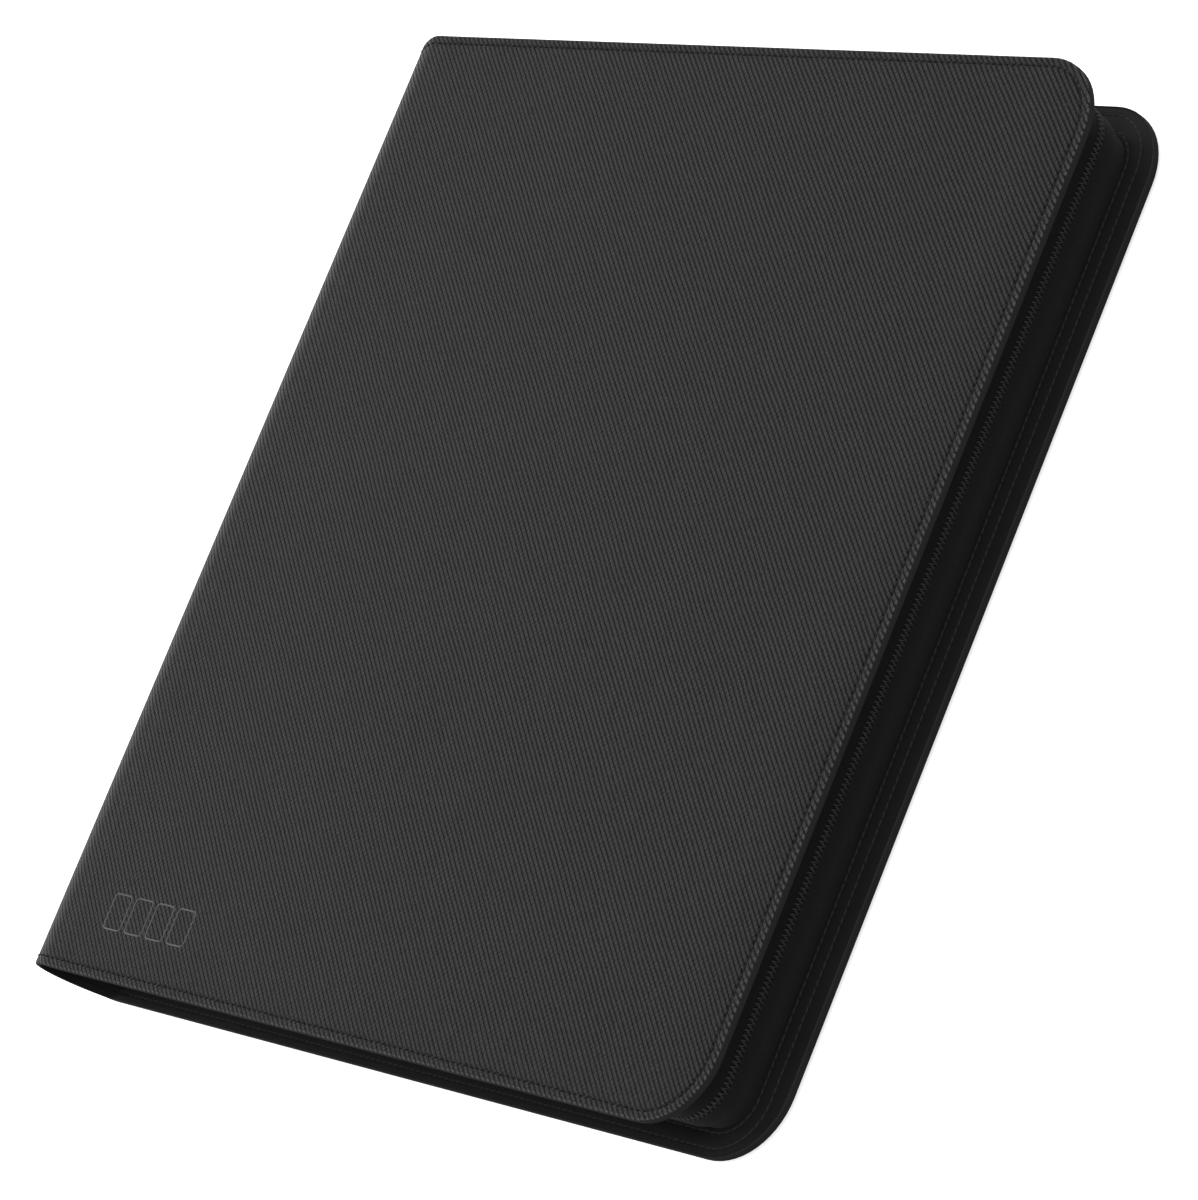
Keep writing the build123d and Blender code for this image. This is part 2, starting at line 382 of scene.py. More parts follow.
def mixColour(tree, factor, first, second, blend="MIX"):
    # first blended towards second by the factor, each of them a value or the socket that feeds it
    node = tree.nodes.new("ShaderNodeMix")
    node.data_type = "RGBA"
    node.blend_type = blend
    for index, value in ((0, factor), (6, first), (7, second)):
        if isinstance(value, bpy.types.NodeSocket):
            tree.links.new(value, node.inputs[index])
        else:
            node.inputs[index].default_value = (*value, 1) if isinstance(value, tuple) else value
    return node.outputs[2]


def dress(tree, shader, colour, roughness, height, distance, strength=1.0):
    # colour and roughness fed into the shader, and the height, over a distance in millimetres, as a bump
    tree.links.new(colour, shader.inputs["Base Color"])
    if roughness is not None:
        tree.links.new(roughness, shader.inputs["Roughness"])
    node = tree.nodes.new("ShaderNodeBump")
    node.inputs["Strength"].default_value = strength
    node.inputs["Distance"].default_value = distance * mm
    tree.links.new(height, node.inputs["Height"])
    tree.links.new(node.outputs[0], shader.inputs["Normal"])


def grey(value, blue):
    # nearly neutral, with its own blue
    return value, value, blue


skinLook = {
    # dark is painted shade in the grooves between the ribs, light is painted highlight on the rib tops
    "dark": grey(0.0018, 0.0019),
    "light": grey(0.0325, 0.0329),
    # the pale colour: real scuffing on the arrises plus painted highlight on the arrises and along the
    # spine's turn
    "paleWearAndHighlight": grey(0.2, 0.202),
    "shader": {"Specular IOR Level": 0.14, "Sheen Weight": 0.07, "Sheen Roughness": 0.18},
    "emboss": {"Cross": 0.2, "Unevenness": 0.75},
    "patches": (0.9, 1.1),
    "wearAndHighlightOnRibs": 0.8, "wearAndHighlightBetween": 0.1,
    "wearAndHighlightNoise": (0.7, 3.0), "wearAndHighlightRange": (0.1, 1.5),
    "roughness": (0.74, 0.52),  # between the ribs and on them
    "bump": 0.33,
}


def skinMaterial():
    # ribs from dark to light, painted shade in the grooves and painted highlight on the rib tops, times
    # cloudy patches, then paler where the per-point pale attribute meets the ribs: real scuffing plus
    # painted highlight
    s = skinLook
    material, tree, shader = newMaterial("outerSkin", s["shader"])
    vector = surfaceVector(tree, True)
    twill = placeGroup(tree, twillGroup, vector, s["emboss"])
    # the rib mask paints shade into the grooves and highlight onto the rib tops
    colour = mixColour(tree, twill["Ribs"], s["dark"], s["light"])
    colour = mixColour(tree, 1.0, colour, rangeNode(tree, twill["Patches"], *s["patches"]), "MULTIPLY")
    # how pale the skin is painted: real scuffing plus painted highlight, more on the ribs than between them
    onRibs = mathNode(tree, "MULTIPLY_ADD", twill["Ribs"], s["wearAndHighlightOnRibs"], s["wearAndHighlightBetween"])
    wearAndHighlightAmount = mathNode(tree, "MULTIPLY", attributeNode(tree, "wearAndHighlight"), onRibs)
    uneven = rangeNode(tree, noiseNode(tree, vector, *s["wearAndHighlightNoise"]), *s["wearAndHighlightRange"])
    colour = mixColour(tree, mathNode(tree, "MULTIPLY", wearAndHighlightAmount, uneven), colour, s["paleWearAndHighlight"])
    dress(tree, shader, colour, rangeNode(tree, twill["Ribs"], *s["roughness"]), twill["Height"], s["bump"])
    return material


def grainMaterial(name, dark, light, roughness, specular, bump, useMap=False, cells=1.2):
    # mottled from dark to light, glossier where it is lighter
    spread = 0.06
    material, tree, shader = newMaterial(name, {"Specular IOR Level": specular})
    grain = placeGroup(tree, grainGroup, surfaceVector(tree, useMap), {"Cells": cells})
    gloss = rangeNode(tree, grain["Mottle"], roughness + spread, roughness - spread)
    dress(tree, shader, mixColour(tree, grain["Mottle"], dark, light), gloss, grain["Height"], bump)
    return material


weaveLook = {
    "shader": {"Roughness": 0.8, "Specular IOR Level": 0.15, "Sheen Weight": 0.08},
    "fibres": (0.5, 1.5),  # how much they dim and brighten the threads
}


def weaveMaterial(name, dark, light, threads, bump, useMap=False):
    # dark between the threads, light on top of them, times the fibre noise
    material, tree, shader = newMaterial(name, weaveLook["shader"])
    weave = placeGroup(tree, weaveGroup, surfaceVector(tree, useMap), {"Threads": threads})
    fibres = rangeNode(tree, weave["Fibre"], *weaveLook["fibres"])
    factor = mathNode(tree, "MULTIPLY", weave["Height"], fibres)
    dress(tree, shader, mixColour(tree, factor, dark, light), None, weave["Height"], bump)
    return material


filmLook = {
    "clear": (0.5, 0.52, 0.55),
    "frosted": (0.2, 0.205, 0.21),
    "alpha": (0.12, 0.5), "specular": 0.6,
    "frostNoise": (1.5, 2.0), "frost": (0.6, 1.3),
    "glossNoise": (0.4, 3.0), "roughness": (0.06, 0.18),
    "rippleNoise": (0.06, 2.0), "ripple": 0.5, "rippleStrength": 0.5,
}


def filmMaterial():
    # clear film: nearly see-through, frosted where it is welded, with slight waviness in its gloss
    s = filmLook
    material, tree, shader = newMaterial("clearFilm", {"Specular IOR Level": s["specular"]})
    vector = surfaceVector(tree, False)
    uneven = rangeNode(tree, noiseNode(tree, vector, *s["frostNoise"]), *s["frost"])
    frost = mathNode(tree, "MULTIPLY", attributeNode(tree, "weld"), uneven)
    gloss = rangeNode(tree, noiseNode(tree, vector, *s["glossNoise"]), *s["roughness"])
    tree.links.new(rangeNode(tree, frost, *s["alpha"]), shader.inputs["Alpha"])
    colour = mixColour(tree, frost, s["clear"], s["frosted"])
    ripple = noiseNode(tree, vector, *s["rippleNoise"])
    dress(tree, shader, colour, gloss, ripple, s["ripple"], s["rippleStrength"])
    return material


metalLook = {
    "dark": grey(0.010, 0.011),
    "light": grey(0.030, 0.032),
    "shader": {"Specular IOR Level": 0.5, "Coat Weight": 0.25},
    "noise": (0.5, 4.0, 0.6), "roughness": (0.5, 0.28),
    "heightNoise": (6.0, 3.0), "bump": 0.02,
}
boardLook = {
    "dark": (0.22, 0.2, 0.17),
    "light": (0.42, 0.39, 0.34),
    "shader": {"Roughness": 0.9, "Specular IOR Level": 0.2},
    "noise": (1.8, 5.0, 0.7),
    "heightNoise": (1.8, 5.0, 0.7), "bump": 0.05,
}


def mottledMaterial(name, s):
    # one noise for the colour and, where it varies, the roughness, and one for the height
    material, tree, shader = newMaterial(name, s["shader"])
    vector = surfaceVector(tree, False)
    mottle = noiseNode(tree, vector, *s["noise"])
    colour = mixColour(tree, mottle, s["dark"], s["light"])
    gloss = rangeNode(tree, mottle, *s["roughness"]) if "roughness" in s else None
    dress(tree, shader, colour, gloss, noiseNode(tree, vector, *s["heightNoise"]), s["bump"])
    return material


# threads and cells are counted for each millimetre, and bump is in millimetres
looks = {
    "skin": skinMaterial(),
    "edge": grainMaterial(
        "turnedEdge", grey(0.02, 0.0203), grey(0.025, 0.0254),
        roughness=0.64, specular=0.15, bump=0.05, useMap=True,
    ),
    "lining": grainMaterial(
        "innerLining", grey(0.0115, 0.0117), grey(0.0145, 0.0147),
        roughness=0.68, specular=0.1, bump=0.03, useMap=True,
    ),
    "tape": weaveMaterial(
        "zipTape", grey(0.0054, 0.0055), grey(0.0135, 0.0138), threads=1.9, bump=0.08, useMap=True
    ),
    "coil": grainMaterial(
        "coilNylon", grey(0.026, 0.0264), grey(0.04, 0.0406), roughness=0.34, specular=0.5, bump=0.01
    ),
    "thread": weaveMaterial(
        "sewingThread", grey(0.012, 0.0122), grey(0.035, 0.0355), threads=3.0, bump=0.04
    ),
    "hemThread": weaveMaterial(
        "hemThread", grey(0.002, 0.0021), grey(0.006, 0.0061), threads=3.0, bump=0.04
    ),
    # the emblem's lines are paler than the skin: painted highlight on their pressed edges
    "emblem": grainMaterial(
        "pressedLineHighlight", grey(0.03, 0.0303), grey(0.046, 0.0465), roughness=0.45, specular=0.3, bump=0.02
    ),
    "page": grainMaterial(
        "pageSheet", grey(0.008, 0.0083), grey(0.013, 0.0133),
        roughness=0.5, specular=0.3, bump=0.03, cells=2.2,
    ),
    "binding": weaveMaterial(
        "bindingWeb", grey(0.005, 0.0052), grey(0.013, 0.0133), threads=1.2, bump=0.1
    ),
    "film": filmMaterial(),
    "metal": mottledMaterial("sliderPaint", metalLook),
    "board": mottledMaterial("greyBoard", boardLook),
}
print("materials made")


skinShape = {
    "deepInset": 22.0,  # where the flat middle begins
    "faceSink": 0.08,  # the flat middle lies this much below the padded border
    "borderSink": 0.02,
    "seamHalf": 0.85, "seamDepth": 0.5, "seamSteps": 9,
    "outerRound": 0.7, "outerSteps": 7, "rimRound": 0.35, "rimSteps": 5,
    "rimWidth": 0.42, "skinDepth": 0.8,
    "sideInset": 0.6,  # the edge face is what lies nearer to the edge than this and deeper than
    "coverSide": 0.85,  # this share of the outer rounding, on a cover
    "spineSide": 0.75,  # or this one, on the spine
    "wearAndHighlightShare": 0.9,  # share of the outer rounding painted pale, real scuffing plus painted highlight
    "wearAndHighlightFront": 0.45, "wearAndHighlightBack": 0.9,
}


def skinProfile():
    # From the flat middle over the seam groove, round the outer arris, up the edge and over the rim to
    # the inside: rows of (fore inset, end inset, depth), the groove a raised cosine on the seam line.
    s = skinShape
    foreSeam, endSeam = seams["hem"]
    rows = [(s["deepInset"], s["deepInset"], s["faceSink"])]
    for t in np.linspace(1, -1, s["seamSteps"]):
        base = s["faceSink"] if t > 0 else s["borderSink"]
        depth = base + s["seamDepth"] * raisedCosine(t)
        rows.append((foreSeam + t * s["seamHalf"], endSeam + t * s["seamHalf"], depth))
    for angle in np.linspace(0, math.pi / 2, s["outerSteps"]):
        inset = s["outerRound"] * (1 - math.sin(angle))
        rows.append((inset, inset, s["outerRound"] * (1 - math.cos(angle))))
    rim = binder["coverDepth"]
    for angle in np.linspace(0, math.pi / 2, s["rimSteps"]):
        inset = s["rimRound"] * (1 - math.cos(angle))
        rows.append((inset, inset, rim - s["rimRound"] * (1 - math.sin(angle))))
    rows.append((s["rimWidth"], s["rimWidth"], rim))
    rows.append((s["rimWidth"], s["rimWidth"], s["skinDepth"]))
    rows.append((s["deepInset"], s["deepInset"], s["skinDepth"]))
    return np.array(rows)


def backFlat(x):
    # where a point of the back cover lies on the skin laid out flat from the front cover round the spine
    return 2 * binder["spineEdgeX"] - binder["spineRadius"] * np.pi - x


def developed(rows, column):
    # how far in from the edge each row of a profile lies once the skin is laid flat
    return rows[0, column] - travelAlong(rows[:, [column, 2]])


def arrisWearAndHighlight(rows, amount):
    # paler round the outer arris: real scuffing plus painted highlight
    nearEdge = skinShape["outerRound"] * skinShape["wearAndHighlightShare"]
    return amount * ((rows[:, 0] < nearEdge) & (rows[:, 2] < nearEdge))


def sideRows(rows, share):
    # which steps of a profile lie beyond the outer arris, on the edge face
    return (rows[:-1, 0] < skinShape["sideInset"]) & (rows[1:, 2] > skinShape["outerRound"] * share)


def coverSurface(rows, side, upper, layer, material, second=None):
    # a profile carried round the free edges, with its first and last lines filled across the flat middle
    lines = []
    maps = []
    for (fore, end, depth), mapFore, mapEnd in zip(rows, developed(rows, 0), developed(rows, 1)):
        line = edgeLine(fore, end)
        lines.append(np.column_stack([line, np.full(len(line), depth)]))
        maps.append(edgeLine(mapFore, mapEnd))
    points, maps = flip(np.array(lines), upper), np.array(maps)
    if not upper:
        maps[..., 0] = backFlat(maps[..., 0])
    count, size = points.shape[:2]
    faces = gridFaces(count, size)
    faces.append(list(range(size)))
    faces.append(list(range((count - 1) * size, count * size)))
    mask = np.append(np.repeat(sideRows(rows, skinShape["coverSide"]), size - 1), [False, False])
    name = f"{side}Cover{layer.capitalize()}"
    piece = makePiece(name, points, faces, material, uv=maps, second=second, secondFaces=mask)
    if second is not None:
        # the arris painted pale: real scuffing plus painted highlight
        paleWearAndHighlight = arrisWearAndHighlight(rows, skinShape["wearAndHighlightFront"] if upper else skinShape["wearAndHighlightBack"])
        addAttribute(piece, "wearAndHighlight", np.repeat(paleWearAndHighlight, size))
    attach(piece, f"{side}_cover")
    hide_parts(f"{side}_cover_{layer}")


for side, upper in covers:
    coverSurface(skinProfile(), side, upper, "skin", looks["skin"], looks["edge"])
print("cover skins made")


liningShape = {
    "inset": 0.46, "depth": 0.6, "round": 0.3, "roundSteps": 4,
    "grooveHalf": 0.75, "grooveDepth": 0.16, "grooveSteps": 7,
    "puff": 0.12,  # how far the sewn border stands proud
    "footSink": 0.05, "middleSink": 0.02,
}


def liningProfile():
    # From under the skin's rim inwards: a small rounded edge, then a raised border with a cosine groove on
    # each stitch line, ending flat under the zip wall. Depths run from the outside of the cover inwards.
    s = liningShape
    top = binder["coverDepth"]
    deep = skinShape["deepInset"]
    rows = [(deep, deep, top - s["depth"]), (s["inset"], s["inset"], top - s["depth"])]
    for angle in np.linspace(0, math.pi / 2, s["roundSteps"]):
        inset = s["inset"] + s["round"] * (1 - math.cos(angle))
        rows.append((inset, inset, top - s["puff"] - s["round"] * (1 - math.sin(angle))))
    for foreSeam, endSeam in (seams["outer"], seams["inner"]):
        for t in np.linspace(-1, 1, s["grooveSteps"]):
            depth = top + s["puff"] - s["grooveDepth"] * raisedCosine(t)
            rows.append((foreSeam + t * s["grooveHalf"], endSeam + t * s["grooveHalf"], depth))
    rows.append((*seams["foot"], top - s["footSink"]))
    rows.append((deep, deep, top - s["middleSink"]))
    return np.array(rows)


for side, upper in covers:
    coverSurface(liningProfile(), side, upper, "lining", looks["lining"])
print("cover linings made")


# the spine's skin and lining are four strips each, one across each of the four fold lines
spineShape = {
    "stripEnds": (270, 240, 180, 120, 90),  # degrees; a fold lies between each two
    "arcSteps": (9, 15, 15, 9),
    "flatSteps": 6,
    "thin": 0.6, "thinSpan": 5.0,
    "headPull": 2.3, "tailPull": 0.25, "pullSpan": 0.2, "pullPower": 8,
    "foldMiddle": 0.17,  # the skin is painted paler, a painted highlight, along a bell-shaped band this far round from each cover
    "foldSpread": 0.1, "foldHighlight": 1.0,
    "restShare": 0.12,  # share of a strip's length at each end
}


def spineLine(strip):
    # Path of one strip in (x, z), its inward direction, its flattened x, and how far round the spine it is
    # from 0 at the back cover to 1 at the front: flat beside a cover, then an arc of the round spine.
    s = spineShape
    radius, edgeX = binder["spineRadius"], binder["spineEdgeX"]
    flatX = np.linspace(binder["stripX"], edgeX, s["flatSteps"], endpoint=False)
    turn = np.radians(np.linspace(*s["stripEnds"][strip:strip + 2], s["arcSteps"][strip]))
    arc = np.stack([edgeX + radius * np.cos(turn), radius + radius * np.sin(turn)], -1)
    inward = np.stack([-np.cos(turn), -np.sin(turn)], -1)
    travel = radius * (1.5 * np.pi - turn)
    flat, passed = edgeX - radius * np.pi + travel, travel / (radius * np.pi)
    line = [arc, inward, flat, passed]
    none, full = np.zeros_like(flatX), np.ones_like(flatX)
    if strip == 0:
        lead = [np.stack([flatX, none], -1), np.stack([none, full], -1), backFlat(flatX), none]
        line = [np.concatenate(pair) for pair in zip(lead, line)]
    if strip == 3:
        x = flatX[::-1]
        lead = [np.stack([x, full * binder["topZ"]], -1), np.stack([none, -full], -1), x, full]
        line = [np.concatenate(pair) for pair in zip(line, lead)]
    return line


def spineThin(arcX):
    # the wall thins from a cover's thickness to the soft spine's over the first part of the turn
    share = np.clip((binder["stripX"] - arcX) / (binder["handover"] + spineShape["thinSpan"]), 0, 1)
    return 1 - (1 - spineShape["thin"]) * smooth(share)


def spinePull(passed, y):
    # the turned hem draws the ends of the soft spine in a little, more at the head than at the tail
    share = smooth(np.clip(np.minimum(passed, 1 - passed) / spineShape["pullSpan"], 0, 1))
    share = share * (np.abs(y) / binder["headY"]) ** spineShape["pullPower"]
    return share * np.where(y > 0, spineShape["headPull"], -spineShape["tailPull"])


def stripBlend(piece):
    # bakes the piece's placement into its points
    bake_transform(piece)


def spineStrip(rows, strip, layer, material, second=None):
    # the cover's own edge profile, tail side and head side joined across the middle, carried round the spine
    arc, inward, flat, passed = spineLine(strip)
    halfHeight = binder["headY"]
    flatEnd = developed(rows, 1)
    tailY, depth = -halfHeight + rows[:, 1], rows[:, 2]
    y = np.concatenate([tailY, -tailY[::-1]])
    mapY = np.concatenate([-halfHeight + flatEnd, (halfHeight - flatEnd)[::-1]])
    yAll = y[None, :] - spinePull(passed[:, None], y[None, :])
    deep = np.concatenate([depth, depth[::-1]])[None, :] * spineThin(arc[:, 0])[:, None]
    points = np.stack([arc[:, :1] + inward[:, :1] * deep, yAll, arc[:, 1:] + inward[:, 1:] * deep], -1)
    uv = np.stack(np.broadcast_arrays(flat[:, None], mapY[None, :]), -1)
    faces = gridFaces(*points.shape[:2], closeCols=True)
    beyond = sideRows(rows, skinShape["spineSide"])
    mask = np.tile(np.concatenate([beyond, [False], beyond[::-1], [False]]), len(points) - 1)
    name = f"spine{layer.capitalize()}_{strip + 1}"
    piece = makePiece(name, points, faces, material, uv=uv, second=second, secondFaces=mask)
    if second is not None:
        # painted highlight along the spine's turn, joined with the arris's real scuffing plus painted
        # highlight
        fold = (np.minimum(passed, 1 - passed) - spineShape["foldMiddle"]) / spineShape["foldSpread"]
        wearAndHighlightAmount = spineShape["foldHighlight"] * np.exp(-fold * fold)
        paleWearAndHighlight = arrisWearAndHighlight(rows, skinShape["wearAndHighlightFront"])
        addAttribute(piece, "wearAndHighlight", np.maximum(wearAndHighlightAmount[:, None], np.concatenate([paleWearAndHighlight, paleWearAndHighlight[::-1]])))
    if strip < 3:  # the frame has three segments, so the last strip replaces nothing
        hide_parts(f"spine_{layer}_{strip + 1}")
    stripBlend(piece)


for strip in range(4):
    spineStrip(skinProfile(), strip, "skin", looks["skin"], looks["edge"])
    spineStrip(liningProfile(), strip, "lining", looks["lining"])
print("spine strips made")


# short sunk threads along the seams of both covers and round the ends of the spine
threadShape = {"pitch": 2.9, "rise": 0.1, "slant": 0.12, "arch": 2.2, "taper": 0.75, "steps": 5, "sides": 6}
liningThread = {"look": "thread", "length": 2.7, "radius": 0.3}
hemThread = {"look": "hemThread", "length": 2.1, "radius": 0.42}


def stitchRow(points, ahead, outward, thread):
    # Each stitch is a capped tube along the seam, its middle lifted by a parabola and its ends sunk,
    # laid slightly across the seam line
    s = threadShape
    t = np.linspace(-1, 1, s["steps"])
    across = np.cross(outward, ahead)
    centres = (
        points[:, None]
        + ahead[:, None] * (t * thread["length"] / 2)[:, None]
        + across[:, None] * (t * s["slant"])[:, None]
        + outward[:, None] * (s["rise"] * (1 - s["arch"] * t * t))[:, None]
    )
    radii = thread["radius"] * np.sqrt(1 - s["taper"] * t**4)
    return tubes(centres, outward, radii, s["sides"])


def coverStitches(name, seam, depth, outSign, side, upper, thread):
    # depth is where the thread lies, outSign the way it shows: down through the skin or up on the lining
    points, ahead = evenly(edgeLine(*seams[seam]), threadShape["pitch"])
    points = flip(np.column_stack([points, np.full(len(points), depth)]), upper)
    ahead = np.column_stack([ahead, np.zeros(len(ahead))])
    outward = np.tile([0.0, 0.0, -outSign if upper else outSign], (len(points), 1))
    piece = makePiece(side + name, *stitchRow(points, ahead, outward, thread), looks[thread["look"]])
    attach(piece, f"{side}_cover")


grooveTop = binder["coverDepth"] + liningShape["puff"] - liningShape["grooveDepth"]
for side, upper in covers:
    coverStitches("HemStitches", "hem", skinShape["seamDepth"], -1, side, upper, hemThread)
    coverStitches("MarginStitches", "outer", grooveTop, 1, side, upper, liningThread)
    coverStitches("ZipStitches", "inner", grooveTop, 1, side, upper, liningThread)


def spineStitches(strip):
    # the hem stitches go on round both ends of the spine, sunk in its groove
    arc, inward, _, passed = spineLine(strip)
    rows = []
    for end in (-1, 1):
        y = np.full(len(passed), end * (binder["headY"] - seams["hem"][1]))
        y = y - spinePull(passed, y)
        deep = skinShape["seamDepth"] * spineThin(arc[:, 0])
        line = np.stack([arc[:, 0] + inward[:, 0] * deep, y, arc[:, 1] + inward[:, 1] * deep], -1)
        points, ahead = evenly(np.column_stack([line, inward]), threadShape["pitch"])
        outward = -unit(np.stack([points[:, 3], np.zeros(len(points)), points[:, 4]], -1))
        rows.append((points[:, :3], unit(ahead[:, :3]), outward))
    joined = [np.concatenate(part) for part in zip(*rows)]
    piece = makePiece(f"spineStitches_{strip + 1}", *stitchRow(*joined, hemThread), looks[hemThread["look"]])
    stripBlend(piece)


for strip in range(4):
    spineStitches(strip)
print("stitching made")


zipShape = {
    "startX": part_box("back_zipper_tape")[0].x / mm,
    "coilX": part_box("back_zipper_coil")[0].x / mm,
    "midZ": binder["topZ"] / 2,
    "topInset": 10.9,  # middle of the tape at the coil, in from the fore-edge
    "footInset": 13.3,
    "endShift": 3.5,  # how much nearer the zip stands to head and tail
    "leanShare": 0.66,  # share of the wall's height over which it leans out
    "wall": 0.55, "wallSteps": 14, "sink": 0.02,
    "gap": 0.42,  # from the top of the tape to the middle of the chain
    "flange": 6.0, "flangeRise": 0.035,
    "flare": (0.35, 0.1),  # how much wider the two lowest lines of the inside stand
    "bayHeight": 0.62,  # share of the front tape's height left beside the parked slider
    "bayEnd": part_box("front_zipper_coil")[0].x / mm,
    "bayLead": 1.0, "baySpan": 5.0,
    "mapHeight": 13,
}


def zipInset(height):
    # the wall leaves the lining upright, leans out along an S and is upright again at the coil
    share = smooth(np.clip(height / zipShape["leanShare"], 0, 1))
    return zipShape["footInset"] + (zipShape["topInset"] - zipShape["footInset"]) * share


def zipTape(side, upper):
    # A thin wall section carried along the zip: out along the flange, up the inside, over the top edge
    # and down the outside. The front one is lower beside the parked slider.
    s = zipShape
    low = binder["coverDepth"]
    height = np.linspace(0, 1, s["wallSteps"])
    inner = np.stack([zipInset(height) + s["wall"] / 2, height], -1)
    outer = np.stack([zipInset(height) - s["wall"] / 2, height], -1)[::-1]
    flangeEnd = s["footInset"] + s["flange"]
    section = np.concatenate([[[flangeEnd, 0.0], [flangeEnd, s["flangeRise"]]], inner[1:], outer])
    section[2:4, 0] += s["flare"]
    lines, maps = [], []
    run = 0.0
    for i, (inset, share) in enumerate(section):
        line = edgeLine(inset, inset - s["endShift"], s["startX"])
        rise = np.ones(len(line))
        if upper:
            near = smooth(np.clip((line[:, 0] - s["bayEnd"] + s["bayLead"]) / s["baySpan"], 0, 1))
            rise = np.where(line[:, 1] > 0, s["bayHeight"] + (1 - s["bayHeight"]) * near, 1)
        z = low - s["sink"] + (s["midZ"] - s["gap"] - low) * share * rise
        lines.append(np.column_stack([line, z]))
        if i:
            run += math.hypot(inset - section[i - 1][0], (share - section[i - 1][1]) * s["mapHeight"])
        maps.append(np.column_stack([travelAlong(line), np.full(len(line), run)]))
    points = flip(np.array(lines), upper)
    count, size = points.shape[:2]
    faces = gridFaces(count, size, closeRows=True)
    faces.append([i * size for i in range(count)])
    faces.append([i * size + size - 1 for i in range(count)])
    piece = makePiece(f"{side}ZipTape", points, faces, looks["tape"], uv=np.array(maps))
    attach(piece, f"{side}_cover")
    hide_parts(f"{side}_zipper_tape")


for side, upper in covers:
    zipTape(side, upper)


coilShape = {
    "pitch": 1.7,
    "radius": 0.36,
    "taper": (0.8, 1, 1, 0.98, 0.98, 1.05, 1.1, 0.85),  # share of the radius at each ring
    "sides": 6,
    "reach": 0.7,  # past the middle of the chain
    "foot": 1.75, "stand": 0.12, "lean": 0.36,
    "bulge": 0.42, "bowStart": 0.1, "bowShare": 0.86,
}


def coilLoops(side, upper):
    # Each turn of the coil is a tube that starts beside the tape, bows outwards across the join and tucks
    # in past the middle: foot to head in z, a half sine outwards, and a slant along the zip.
    s = coilShape
    line = edgeLine(zipShape["topInset"], zipShape["topInset"] - zipShape["endShift"], zipShape["coilX"])
    points, ahead = evenly(line, s["pitch"])
    if upper:
        # half a pitch on, so that the two coils interlock, and none beside the parked slider
        points = points + ahead * s["pitch"] / 2
        keep = ~((points[:, 1] > 0) & (points[:, 0] < zipShape["bayEnd"]))
        points, ahead = points[keep], ahead[keep]
    outward = np.column_stack([ahead[:, 1], -ahead[:, 0], np.zeros(len(ahead))])
    ahead = np.column_stack([ahead, np.zeros(len(ahead))])
    base = np.column_stack([points, np.full(len(points), zipShape["midZ"])])
    t = np.linspace(0, 1, len(s["taper"]))
    across = -s["foot"] + (s["foot"] + s["reach"]) * t
    out = s["stand"] + s["bulge"] * np.sin(np.pi * np.clip(t * s["bowShare"] + s["bowStart"], 0, 1))
    slant = s["lean"] * (2 * t - 1)
    centres = (
        base[:, None]
        + outward[:, None] * out[:, None]
        + ahead[:, None] * slant[:, None]
        + np.array([0, 0, 1.0]) * across[:, None]
    )
    radii = s["radius"] * np.array(s["taper"])
    piece = makePiece(f"{side}Coil", *tubes(flip(centres, upper), outward, radii, s["sides"]), looks["coil"])
    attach(piece, f"{side}_cover")
    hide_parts(f"{side}_zipper_coil")


for side, upper in covers:
    coilLoops(side, upper)
print("zip made")


# the slider and the pull keep their CAD shapes, with their arrises broken
arris = {
    "slider": 0.16, "pull": 0.25, "segments": 2,
    "sharpAngle": 40, "flatAngle": 2, "mergeDistance": 0.005,
}


def softened(node, name, body):
    # a copy with its points merged and its flat faces joined, bevelled along every edge past the sharp angle
    copy = nodes[node].data.copy()
    work = bmesh.new()
    work.from_mesh(copy)
    bmesh.ops.remove_doubles(work, verts=work.verts, dist=arris["mergeDistance"] * mm)
    flatAngle = math.radians(arris["flatAngle"])
    bmesh.ops.dissolve_limit(work, angle_limit=flatAngle, verts=work.verts, edges=work.edges)
    work.to_mesh(copy)
    work.free()
    copy.materials.clear()
    copy.materials.append(looks["metal"])
    copy.name = name
    copy.shade_smooth()
    piece = addObject(name, copy)
    bevel = piece.modifiers.new("arris", "BEVEL")
    bevel.width = arris[body] * mm
    bevel.segments = arris["segments"]
    bevel.limit_method = "ANGLE"
    bevel.angle_limit = math.radians(arris["sharpAngle"])
    bevel.harden_normals = True
    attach(piece, body)
    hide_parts(node)


softened("slider_body", "zipSlider", "slider")
softened("pull_tab", "pullTab", "pull")
print("slider made")


# clear film in a grid of pillowed pockets on both faces of each page
film = {
    "pages": 20, "columns": 4, "rows": 3,
    "weld": 1.5, "lift": 0.44,
    "gap": 0.03,  # between the page and the film at the welds
    "power": 14.0,  # how steeply the pillow falls at the welds
    "places": (0.0, 0.45, 0.75, 0.9, 0.96, 0.985, 1.0),  # samples from a pocket's middle to its weld
    "weldFrom": 0.999,
    "lipFrom": 0.97,  # the loading side of a pocket stays open in a low step
    "lip": 0.85,
}
coreLow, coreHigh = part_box("page_core_01")


def filmAxis(low, high, count):
    # sample places along one side of the film, close together at the welds, with the pocket's own -1 to 1
    cell = (high - low) / count
    half = cell / 2 - film["weld"]
    places = np.array(film["places"])
    inner = np.concatenate([-places[:0:-1], places])
    middles = low + cell * (np.arange(count) + 0.5)
    along = np.concatenate([[low], (middles[:, None] + inner * half).ravel(), [high]])
    local = np.concatenate([[-1.0], np.tile(inner, count), [1.0]])
    return along, local


